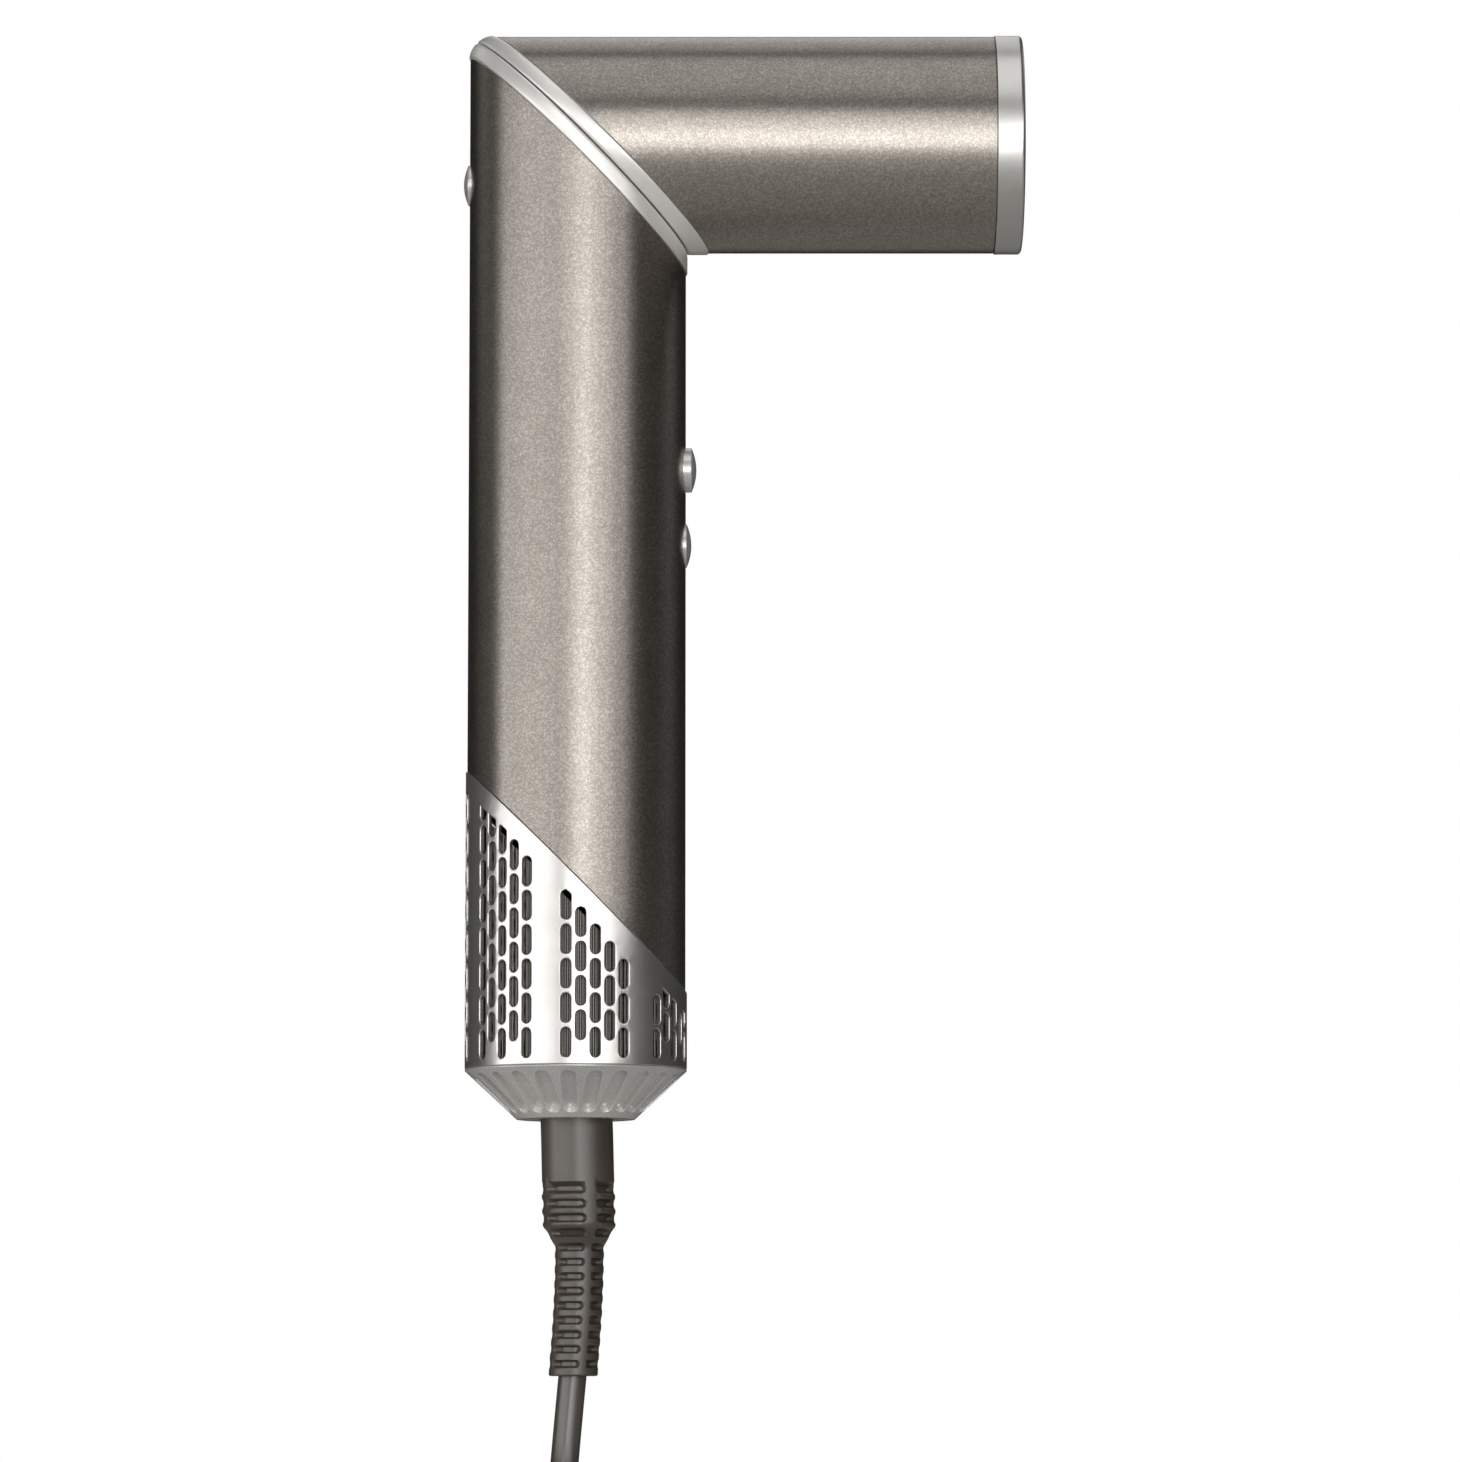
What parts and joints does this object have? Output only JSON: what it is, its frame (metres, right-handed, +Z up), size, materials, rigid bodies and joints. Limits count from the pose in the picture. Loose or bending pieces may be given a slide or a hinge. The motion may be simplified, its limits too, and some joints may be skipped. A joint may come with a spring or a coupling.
{
  "type": "hair dryer",
  "caption": "Slim folding hair dryer: tubular handle with slotted air inlet, tubular head that twists on a slanted joint, push buttons and a tied mains cord.",
  "frame": {"origin": "on the handle's axis where the hand holds it, 100 mm below the crossing of the head's and the handle's axes", "axes": "+Z up along the handle towards the head, +X the way the air leaves the head, +Y across"},
  "size_m": [0.1135, 0.0436, 0.4767],
  "materials": {
    "satin_grey_paint": "ABS with a fine metallic grey paint, satin",
    "satin_silver": "fine brushed, clear anodised",
    "silver_plated_abs": "satin silver plating on ABS",
    "dark_rubber": "moulded, fine grain",
    "cord_pvc": "extruded flexible PVC, semi-matt",
    "black_nylon": "glass filled, moulded",
    "steel_mesh": "fine woven stainless wire",
    "spring_steel": "ground",
    "motor_steel": "zinc plated, drawn",
    "ferrite": "sintered",
    "bronze": "sintered, oiled",
    "copper_wire": "enamelled copper winding",
    "carbon": "pressed carbon",
    "mica": "pressed mica sheet",
    "heating_wire": "oxidised nickel chromium wire",
    "circuit_laminate": "glass epoxy with solder mask",
    "plug_brass": "nickel plated",
    "tie_strap": "soft moulded strap"
  },
  "bodies": {
    "handle": {"handle_casing": "satin_grey_paint", "handle_mitre_ring": "satin_silver", "swivel_washer": "spring_steel", "joining_collar": "black_nylon", "inlet_cage": "satin_silver", "filter_screen": "steel_mesh", "end_cap": "silver_plated_abs", "cord_clamp": "black_nylon", "clamp_screws": "spring_steel", "strain_relief": "dark_rubber", "fan_duct": "black_nylon", "guide_vanes": "black_nylon", "motor_can": "motor_steel", "motor_end_bell": "black_nylon", "motor_rubber_mount": "dark_rubber", "motor_bearings": "bronze", "motor_magnets": "ferrite", "motor_brushes": "carbon", "push_switches": "black_nylon", "circuit_board": "circuit_laminate", "board_carrier": "black_nylon", "mains_cord": "cord_pvc", "cord_hank": "cord_pvc", "cord_tie": "tie_strap", "cord_end": "cord_pvc", "plug_body": "dark_rubber", "plug_blades": "plug_brass"},
    "head": {"head_casing": "satin_grey_paint", "head_mitre_ring": "satin_silver", "swivel_tube": "black_nylon", "swivel_circlip": "spring_steel", "outlet_ring": "satin_silver", "outlet_grille": "black_nylon", "heat_shield": "mica", "heater_boards": "mica", "heater_winding": "heating_wire", "thermal_cutout": "black_nylon"},
    "lock_button": {"lock_button": "silver_plated_abs"},
    "latch": {"latch_bolt": "spring_steel"},
    "power_button": {"power_button": "silver_plated_abs"},
    "mode_button": {"mode_button": "silver_plated_abs"},
    "rotor": {"motor_shaft": "spring_steel", "rotor_core": "motor_steel", "rotor_winding": "copper_wire", "commutator": "copper_wire", "impeller": "black_nylon"}
  },
  "joints": [
    {"name": "head_twist", "type": "hinge", "parent": "handle", "child": "head", "pos_m": [0, 0, 0.1], "axis": [0.7071, 0, 0.7071], "range_deg": [0, 180]},
    {"name": "lock_press", "type": "slide", "parent": "handle", "child": "lock_button", "axis": [1, 0, 0], "range_m": [0, 0.0012], "stiffness_N_per_m": 400, "springref_m": -0.002},
    {"name": "latch_slide", "type": "slide", "parent": "handle", "child": "latch", "axis": [-0.7071, 0, -0.7071], "range_m": [0, 0.0012]},
    {"name": "power_press", "type": "slide", "parent": "handle", "child": "power_button", "axis": [-1, 0, 0], "range_m": [0, 0.001], "stiffness_N_per_m": 400, "springref_m": -0.002},
    {"name": "mode_press", "type": "slide", "parent": "handle", "child": "mode_button", "axis": [-1, 0, 0], "range_m": [0, 0.001], "stiffness_N_per_m": 400, "springref_m": -0.002},
    {"name": "fan_spin", "type": "hinge", "parent": "handle", "child": "rotor", "pos_m": [0, 0, 0], "axis": [0, 0, 1], "continuous": true}
  ],
  "couplings": [
    {"joint": "latch_slide", "follows": "lock_press", "ratio": 1}
  ]
}
